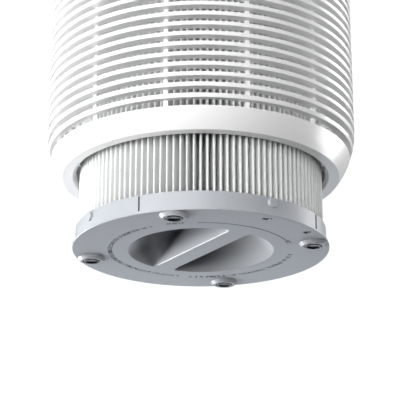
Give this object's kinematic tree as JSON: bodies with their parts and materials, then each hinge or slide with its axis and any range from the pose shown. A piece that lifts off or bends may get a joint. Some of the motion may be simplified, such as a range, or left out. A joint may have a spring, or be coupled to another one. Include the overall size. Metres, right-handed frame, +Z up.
{
  "type": "air purifier",
  "caption": "Cylindrical air purifier with all-round louvres and a bayonet base tray that carries a pleated filter cartridge, shown partly drawn out.",
  "frame": {"origin": "on the axis, at the bottom of the rubber feet, with the cartridge hanging partly drawn out", "axes": "+Z up along the axis, -Y towards the front, +Y towards the power inlet at the rear, +X to the right seen from the front"},
  "size_m": [0.22, 0.22, 0.4077],
  "materials": {
    "white_shell": "white ABS with a fine satin",
    "grille_white": "white ABS, matt",
    "inner_white": "light grey moulded plastic",
    "silver_tray": "satin silver-grey paint on moulded plastic",
    "pad_rubber": "dark rubber",
    "seal_felt": "pressed felt",
    "gasket_foam": "closed-cell foam",
    "filter_medium": "embossed non-woven medium",
    "carbon": "activated carbon cloth",
    "filter_plastic": "white polypropylene",
    "panel_gloss": "glossy white",
    "button_cap": "glossy light grey",
    "switch_parts": "black nylon",
    "light_guide": "frosted light guide",
    "spring_steel": "bright spring wire",
    "screw_steel": "zinc-plated",
    "wheel_plastic": "dark grey glass-filled nylon",
    "rotor_steel": "blackened steel cup",
    "stator_core": "enamelled copper on laminated steel",
    "board_green": "solder mask over glass-fibre board",
    "capacitor_sleeve": "shrink sleeve",
    "sensor_black": "black moulded case"
  },
  "bodies": {
    "housing": {"lower_bowl": "white_shell", "louvre_cage": "white_shell", "bayonet_ring": "inner_white", "upper_shell": "white_shell", "top_bezel": "white_shell", "outlet_grille": "grille_white", "control_panel": "panel_gloss", "control_board": "board_green", "tact_switch": "switch_parts", "light_ring": "light_guide", "indicator_lights": "light_guide", "button_spring": "spring_steel", "fan_deck": "inner_white", "inlet_guard": "grille_white", "inlet_bellmouth": "inner_white", "fan_duct": "inner_white", "motor_hub": "inner_white", "stator": "stator_core", "bearings": "screw_steel", "main_board": "board_green", "capacitors": "capacitor_sleeve", "board_posts": "inner_white", "particle_sensor": "sensor_black", "sensor_grille": "white_shell", "power_inlet": "sensor_black", "ring_screws": "screw_steel", "duct_screws": "screw_steel", "top_screws": "screw_steel"},
    "blower_wheel": {"rotor": "rotor_steel", "impeller": "wheel_plastic", "impeller_nut": "screw_steel"},
    "button": {"power_button": "button_cap", "switch_plunger": "switch_parts"},
    "cartridge": {"pleat_pack": "filter_medium", "carbon_sleeve": "carbon", "inner_core": "filter_plastic", "lower_end_cap": "filter_plastic", "upper_end_cap": "filter_plastic", "top_gasket": "gasket_foam"},
    "tray": {"base_tray": "silver_tray", "foot_pads": "pad_rubber", "tray_seal": "seal_felt"}
  },
  "joints": [
    {"name": "filter_slide", "type": "slide", "parent": "housing", "child": "cartridge", "axis": [0, 0, 1], "range_m": [-0.165, 0.0522]},
    {"name": "base_twist", "type": "hinge", "parent": "cartridge", "child": "tray", "pos_m": [0, 0, 0.0025], "axis": [0, 0, 1], "range_deg": [-30, 0]},
    {"name": "fan_spin", "type": "hinge", "parent": "housing", "child": "blower_wheel", "pos_m": [0, 0, 0.3047], "axis": [0, 0, 1], "continuous": true},
    {"name": "power_button_press", "type": "slide", "parent": "housing", "child": "button", "axis": [0, 0, 1], "range_m": [-0.0015, 0], "stiffness_N_per_m": 800, "springref_m": 0.001, "deforming": ["button_spring"]}
  ]
}
